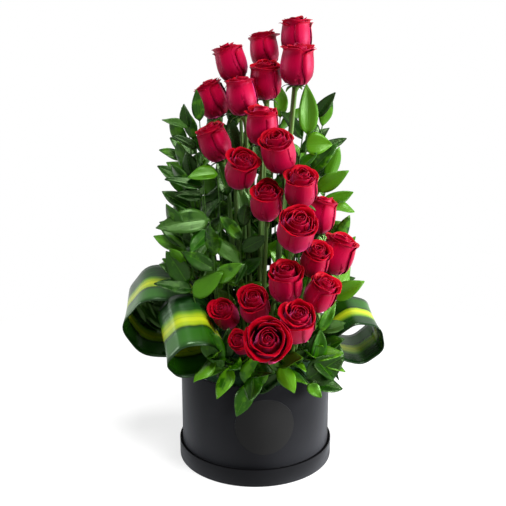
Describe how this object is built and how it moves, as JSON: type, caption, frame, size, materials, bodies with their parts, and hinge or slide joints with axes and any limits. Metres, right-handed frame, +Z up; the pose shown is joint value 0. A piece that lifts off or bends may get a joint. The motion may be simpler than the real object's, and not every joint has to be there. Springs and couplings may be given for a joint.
{
  "type": "flower box",
  "caption": "Round black board gift box standing in its own lid, with a liner and wet foam that hold a tall cascade of red roses, leafy sprigs and looped striped leaves.",
  "frame": {"origin": "centre of the underside of the lid, on the surface that the object stands on", "axes": "+Z up, +X to the viewer's right, -Y towards the viewer, the way the cascade and the blank label face"},
  "size_m": [0.3394, 0.3282, 0.5841],
  "materials": {
    "lid_board": "matte",
    "box_board": "matte",
    "label_paper": "matte",
    "liner_plastic": "satin",
    "wet_foam": "matte",
    "rose_green": "satin",
    "rose_petal": "matte",
    "ruscus_leaf": "satin",
    "salal_leaf": "satin",
    "striped_leaf": "satin"
  },
  "bodies": {
    "lid": {"lid_plate": "lid_board", "lid_rim": "lid_board"},
    "box": {"box_floor": "box_board", "box_wall": "box_board", "blank_label": "label_paper"},
    "insert": {"liner": "liner_plastic", "foam": "wet_foam", "rose_stems": "rose_green", "rose_01": "rose_petal", "rose_02": "rose_petal", "rose_03": "rose_petal", "rose_04": "rose_petal", "rose_05": "rose_petal", "rose_06": "rose_petal", "rose_07": "rose_petal", "rose_08": "rose_petal", "rose_09": "rose_petal", "rose_10": "rose_petal", "rose_11": "rose_petal", "rose_12": "rose_petal", "rose_13": "rose_petal", "rose_14": "rose_petal", "rose_15": "rose_petal", "rose_16": "rose_petal", "rose_17": "rose_petal", "rose_18": "rose_petal", "rose_19": "rose_petal", "rose_20": "rose_petal", "rose_21": "rose_petal", "rose_22": "rose_petal", "rose_23": "rose_petal", "rose_24": "rose_petal", "ruscus_left_tall": "ruscus_leaf", "ruscus_left_upper": "ruscus_leaf", "ruscus_left_middle": "ruscus_leaf", "ruscus_left_front": "ruscus_leaf", "ruscus_left_low": "ruscus_leaf", "ruscus_inner": "ruscus_leaf", "ruscus_right_tall": "ruscus_leaf", "ruscus_right_upper": "ruscus_leaf", "ruscus_right_middle": "ruscus_leaf", "salal_right": "salal_leaf", "salal_right_front": "salal_leaf", "salal_front_right": "salal_leaf", "salal_front": "salal_leaf", "salal_front_left": "salal_leaf", "salal_left_front": "salal_leaf", "ruscus_back_left": "ruscus_leaf", "ruscus_back_tall": "ruscus_leaf", "ruscus_back_right": "ruscus_leaf", "salal_back_left": "salal_leaf", "salal_back": "salal_leaf", "salal_back_right": "salal_leaf", "salal_right_back": "salal_leaf", "loop_left_back": "striped_leaf", "loop_left_front": "striped_leaf", "loop_left_high": "striped_leaf", "loop_right": "striped_leaf"}
  },
  "joints": [
    {"name": "box_lift", "type": "slide", "parent": "lid", "child": "box", "axis": [0, 0, 1], "range_m": [0, 0.06]},
    {"name": "insert_lift", "type": "slide", "parent": "box", "child": "insert", "axis": [0, 0, 1], "range_m": [0, 0.15]}
  ]
}
